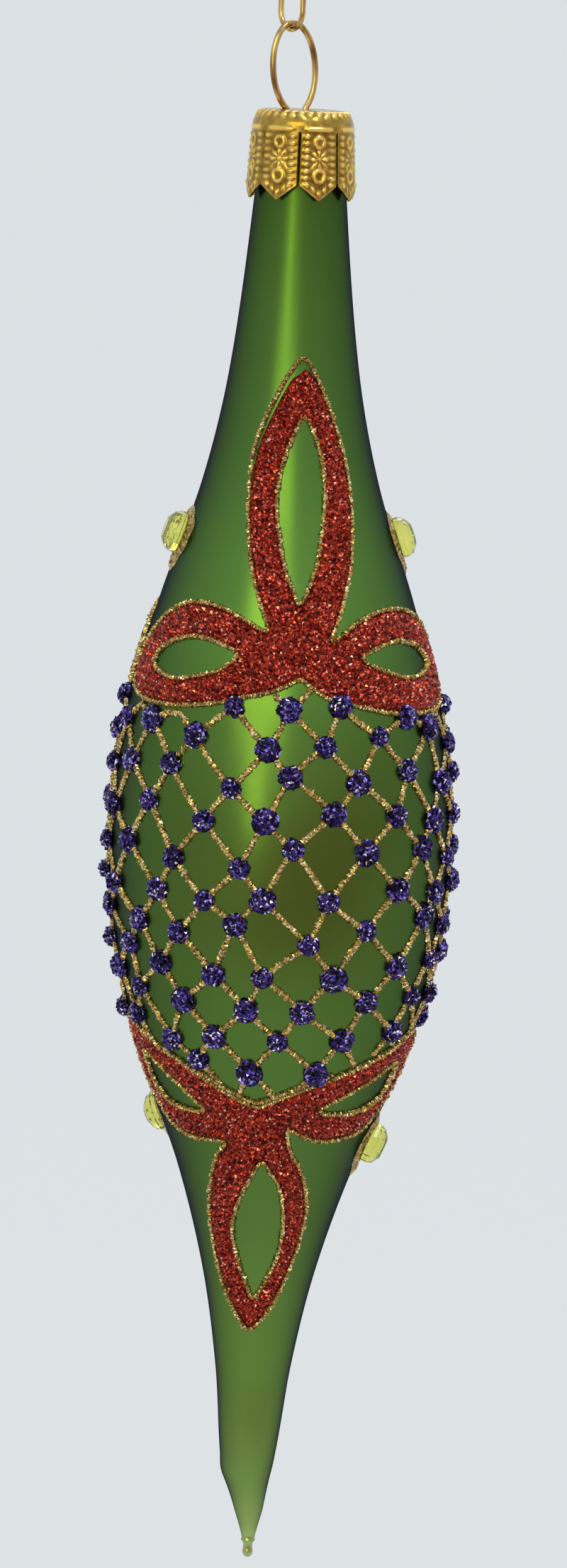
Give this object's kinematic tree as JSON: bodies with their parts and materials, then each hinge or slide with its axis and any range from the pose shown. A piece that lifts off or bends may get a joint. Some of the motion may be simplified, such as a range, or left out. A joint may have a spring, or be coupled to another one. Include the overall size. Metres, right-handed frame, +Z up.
{
  "type": "spindle glass tree ornament",
  "caption": "Long spindle-shaped glass tree ornament with crown cap and wire hanger, raised glitter bows, a dotted glitter net and faceted stones; it hangs from a link.",
  "frame": {"origin": "top inside of the hanging link, where the ornament bears on what holds it", "axes": "+Z up, parallel to the axis of the glass; -Y towards the front; +X to the right as seen from the front"},
  "size_m": [0.0424, 0.0423, 0.1863],
  "materials": {
    "gold_wire": "satin plated wire",
    "cap_gold": "bright stamped sheet",
    "green_glass": "satin metallic lacquer over silvered glass",
    "red_glitter": "glitter flakes in glue",
    "gold_glitter": "glitter flakes in glue",
    "violet_glitter": "coarse glitter flakes in glue",
    "chartreuse_stone": "polished facets"
  },
  "bodies": {
    "link": {"hanging_link": "gold_wire"},
    "hanger": {"hanger_wire": "gold_wire", "crown_cap": "cap_gold"},
    "glass": {"glass_shell": "green_glass", "upper_front_ribbon": "red_glitter", "upper_back_ribbon": "red_glitter", "lower_front_ribbon": "red_glitter", "lower_back_ribbon": "red_glitter", "upper_front_ribbon_edging": "gold_glitter", "upper_back_ribbon_edging": "gold_glitter", "lower_front_ribbon_edging": "gold_glitter", "lower_back_ribbon_edging": "gold_glitter", "net_lines_rightward": "gold_glitter", "net_lines_leftward": "gold_glitter", "violet_dots_row_1": "violet_glitter", "violet_dots_row_2": "violet_glitter", "violet_dots_row_3": "violet_glitter", "violet_dots_row_4": "violet_glitter", "violet_dots_row_5": "violet_glitter", "violet_dots_row_6": "violet_glitter", "violet_dots_row_7": "violet_glitter", "violet_dots_row_8": "violet_glitter", "violet_dots_row_9": "violet_glitter", "violet_dots_row_10": "violet_glitter", "violet_dots_row_11": "violet_glitter", "upper_left_stone": "chartreuse_stone", "upper_right_stone": "chartreuse_stone", "lower_left_stone": "chartreuse_stone", "lower_right_stone": "chartreuse_stone", "upper_left_stone_bed": "gold_glitter", "upper_right_stone_bed": "gold_glitter", "lower_left_stone_bed": "gold_glitter", "lower_right_stone_bed": "gold_glitter"}
  },
  "joints": [
    {"name": "hanger_swing", "type": "hinge", "parent": "link", "child": "hanger", "pos_m": [0, 0, -0.00707], "axis": [-0.5736, 0.8192, 0], "range_deg": [-85, 85]},
    {"name": "cap_pull", "type": "slide", "parent": "hanger", "child": "glass", "axis": [0, 0, -1], "range_m": [0, 0.022]}
  ]
}
